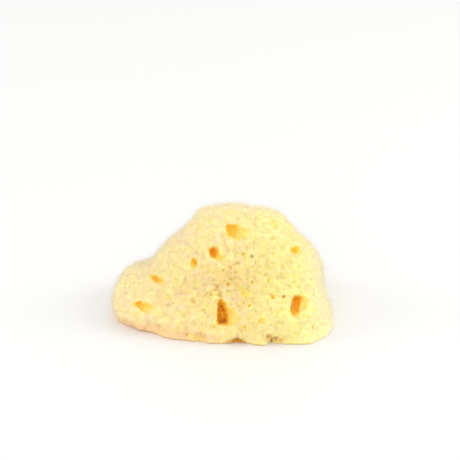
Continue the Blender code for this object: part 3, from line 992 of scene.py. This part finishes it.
def mix(tree, share, first, second):
    """One colour passing into another."""
    made = add_node(tree, "ShaderNodeMix", data_type="RGBA")
    for socket, value in ((0, share), (6, first), (7, second)):
        if isinstance(value, bpy.types.NodeSocket):
            tree.links.new(value, made.inputs[socket])
        else:
            made.inputs[socket].default_value = value
    return made.outputs[2]


def cloud(tree, size):
    """Soft noise of a size in millimetres, drawn out upwards and fixed to the sponge."""
    place = add_node(tree, "ShaderNodeTexCoord").outputs["Object"]
    factors = {0: place, 1: UPRIGHT}
    drawn_out = add_node(tree, "ShaderNodeVectorMath", factors, operation="MULTIPLY")
    inputs = {"Vector": drawn_out.outputs["Vector"], "Scale": 1.0 / (size * MM)}
    inputs.update({"Detail": CLOUD_DETAIL, "Roughness": CLOUD_ROUGHNESS})
    return add_node(tree, "ShaderNodeTexNoise", inputs).outputs["Fac"]


def along_x(tree):
    """The distance to the right of the middle of the sponge, in metres."""
    place = add_node(tree, "ShaderNodeTexCoord").outputs["Object"]
    return add_node(tree, "ShaderNodeSeparateXYZ", {"Vector": place}).outputs["X"]


def colour_group():
    """Pale tips, warm fibre and olive pits, with painted light: pale glow on the long fibre, peach
    shade low down, tan shade in the partings, brown shade in the specks, and orange to brown shade
    and glow in the canals.
    """
    tree = bpy.data.node_groups.new("sponge_colours", "ShaderNodeTree")
    tree.interface.new_socket("Colour", in_out="OUTPUT", socket_type="NodeSocketColor")
    colour = mix(tree, shade(tree, "tuft", TUFT_SHADE), BODY_COLOUR, TIP_COLOUR)
    colour = mix(tree, attribute(tree, "warm"), colour, WARM_COLOUR)
    for (size, low, high), over in ((PEACH_CLOUD, PEACH_COLOUR), (TIP_CLOUD, TIP_COLOUR)):
        colour = mix(tree, rise(tree, cloud(tree, size), low, high), colour, over)
    for (low, high), over in ((LEMON_SHADE, LEMON_COLOUR), (PALE_SHADE, PALE_COLOUR)):
        colour = mix(tree, rise(tree, along_x(tree), low, high), colour, over)
    # Painted shade low down on the left
    colour = mix(tree, attribute(tree, "low"), colour, LOW_SHADE_COLOUR)
    # Painted shade in the partings and creases
    colour = mix(tree, shade(tree, "pit", PIT_SHADE), colour, PARTING_SHADE_COLOUR)
    # Painted shade and glow in the hollows, by how shut in each point is
    gold_share = attribute(tree, "gold")
    canal_light = mix(tree, gold_share, CANAL_PAINTED_LIGHT, GOLD_PAINTED_LIGHT)
    deep = mix(tree, gold_share, DEEP_PAINTED_LIGHT, DEEP_GOLD_PAINTED_LIGHT)
    colour = mix(tree, shade(tree, "hollow", CANAL_SHADE), colour, canal_light)
    colour = mix(tree, shade(tree, "hollow", DEEP_SHADE), colour, deep)
    # Olive pits, then painted shade in the specks with some dirt, then the painted glow of the long
    # fibre
    for name, over in (("olive", OLIVE_COLOUR), ("speck", SHADE_AND_DIRT_COLOUR), ("fray", FRAY_AND_GLOW_COLOUR)):
        colour = mix(tree, attribute(tree, name), colour, over)
    out = tree.nodes.new("NodeGroupOutput")
    tree.links.new(colour, out.inputs["Colour"])
    return tree


def sponge_material(name, colours, scattering):
    """Dry matt fibre in the sponge's colours, with a share of the light scattering in it."""
    material = bpy.data.materials.new(name)
    material.use_nodes = True
    tree = material.node_tree
    shader = tree.nodes["Principled BSDF"]
    group = add_node(tree, "ShaderNodeGroup", node_tree=colours)
    tree.links.new(group.outputs["Colour"], shader.inputs["Base Color"])
    shader.inputs["Roughness"].default_value = FIBRE_MATT
    shader.inputs["Specular IOR Level"].default_value = FIBRE_GLOSS
    shader.inputs["Subsurface Weight"].default_value = scattering
    shader.inputs["Subsurface Radius"].default_value = SCATTERED_COLOURS
    shader.inputs["Subsurface Scale"].default_value = SCATTERED_OVER
    return material


def add_lamp(name, power, width, azimuth, elevation, distance):
    """A square soft lamp that looks at the sponge; azimuth 0 is in front and 90 to the right."""
    data = bpy.data.lights.new(name, "AREA")
    data.energy = power
    data.size = width
    lamp = bpy.data.objects.new(name, data)
    turn, lift = math.radians(azimuth), math.radians(elevation)
    level = math.cos(lift)
    way = Vector((math.sin(turn) * level, -math.cos(turn) * level, math.sin(lift)))
    lamp.location = way * distance
    lamp.rotation_euler = way.to_track_quat("Z", "Y").to_euler()
    bpy.context.scene.collection.objects.link(lamp)


def light_the_scene():
    """Even white light all round and soft lamps at the right, at the left and in front."""
    world = bpy.data.worlds.new("world")
    world.use_nodes = True
    background = world.node_tree.nodes["Background"]
    background.inputs["Color"].default_value = WHITE
    background.inputs["Strength"].default_value = WORLD_LIGHT
    scene = bpy.context.scene
    scene.world = world
    for lamp in LAMPS:
        add_lamp(*lamp)
    scene.view_settings.view_transform = "Standard"
    scene.cycles.max_bounces = LIGHT_BOUNCES
    scene.cycles.diffuse_bounces = LIGHT_BOUNCES


def make_floor():
    """A wide pale floor with a slight gloss."""
    bm = bmesh.new()
    bmesh.ops.create_grid(bm, x_segments=1, y_segments=1, size=FLOOR_HALF_WIDTH)
    mesh = bpy.data.meshes.new("floor")
    bm.to_mesh(mesh)
    bm.free()
    floor = add_object("floor", mesh)
    material = bpy.data.materials.new("floor")
    material.use_nodes = True
    shader = material.node_tree.nodes["Principled BSDF"]
    shader.inputs["Base Color"].default_value = FLOOR_COLOUR
    shader.inputs["Roughness"].default_value = FLOOR_MATT
    shader.inputs["Specular IOR Level"].default_value = FLOOR_GLOSS
    mesh.materials.append(material)


def make_sponge(node):
    """The skin and the loose fibre, which together stand for the plain sponge."""
    obj = even_skin(node)
    tree = BVHTree.FromObject(node, bpy.context.evaluated_depsgraph_get())
    heart = np.array(place_on_skin(tree, *HEART_ON_DRAWING)) / MM
    skin = Skin(obj, heart)
    shape_skin(obj, skin, tree)
    colours = colour_group()
    obj.data.materials.append(sponge_material("skin", colours, SKIN_SCATTERING))
    fibres = make_fibres(skin)
    fibre_material = sponge_material("loose_fibre", colours, 0.0)
    for piece in fibres:
        piece.data.materials.append(fibre_material)
    pieces = [obj] + fibres
    for piece in pieces:
        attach(piece, "root")
        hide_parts("sponge")


make_camera()
make_floor()
light_the_scene()
make_sponge(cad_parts["sponge"])
